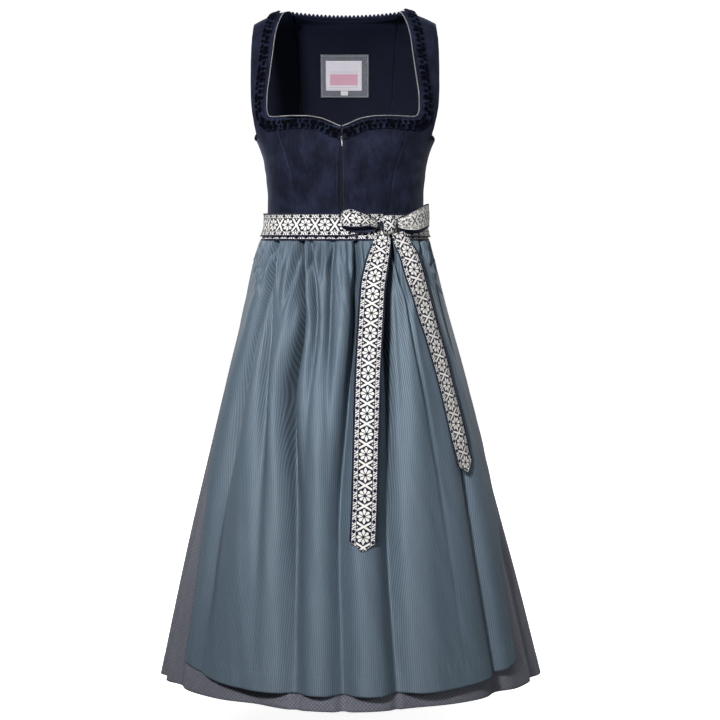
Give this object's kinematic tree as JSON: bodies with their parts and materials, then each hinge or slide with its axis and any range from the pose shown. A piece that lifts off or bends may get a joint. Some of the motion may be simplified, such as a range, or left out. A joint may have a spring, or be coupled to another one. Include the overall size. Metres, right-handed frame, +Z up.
{
  "type": "dirndl dress",
  "caption": "Sleeveless midi folk dress, open at neck, armholes and hem, with a gathered wrap apron, a patterned ribbon tied in a bow at the waist, and a front zip.",
  "frame": {"origin": "midway between the two shoulder seams at their neck ends, level with the top of the shoulders, where the dress rests on its wearer", "axes": "+Z up, -Y to the front of the dress, +X to the wearer's left"},
  "size_m": [0.6105, 0.5699, 1.0599],
  "materials": {
    "velvet": "short pile, matt, soft sheen",
    "lining": "smooth plain weave",
    "trim": "ruched ribbon, satin face",
    "piping": "twisted cord with a metallic thread",
    "skirt_cloth": "fine jacquard dots, matt",
    "apron_cloth": "fine vertical stripes, soft shine",
    "ribbon": "woven jacquard, matt",
    "patch": "mottled weave",
    "label": "woven satin",
    "zip_tape": "woven tape",
    "zip_metal": "polished"
  },
  "bodies": {
    "dress": {"front_center_right": "velvet", "front_center_left": "velvet", "front_side_right": "velvet", "front_side_left": "velvet", "back_center": "velvet", "back_side_right": "velvet", "back_side_left": "velvet", "lining_center": "lining", "lining_side_right": "lining", "lining_side_left": "lining", "neck_trim_right": "trim", "neck_trim_left": "trim", "back_neck_picot": "trim", "neck_piping_right": "piping", "neck_piping_left": "piping", "label_patch": "patch", "woven_label": "label", "size_tab": "label", "zip_tape": "zip_tape", "zip_slider": "zip_metal", "skirt_front": "skirt_cloth", "skirt_back": "skirt_cloth", "apron": "apron_cloth", "apron_band": "ribbon", "tie_right": "ribbon", "tie_left": "ribbon", "bow_loop_right": "ribbon", "bow_loop_left": "ribbon", "bow_knot": "ribbon", "bow_tail_right": "ribbon", "bow_tail_left": "ribbon"},
    "zip_pull": {"zip_pull": "zip_metal"}
  },
  "joints": [
    {"name": "zip_pull_swing", "type": "hinge", "parent": "dress", "child": "zip_pull", "pos_m": [-0.0028, -0.1298, -0.2086], "axis": [-1, 0, 0], "range_deg": [0, 140]}
  ]
}
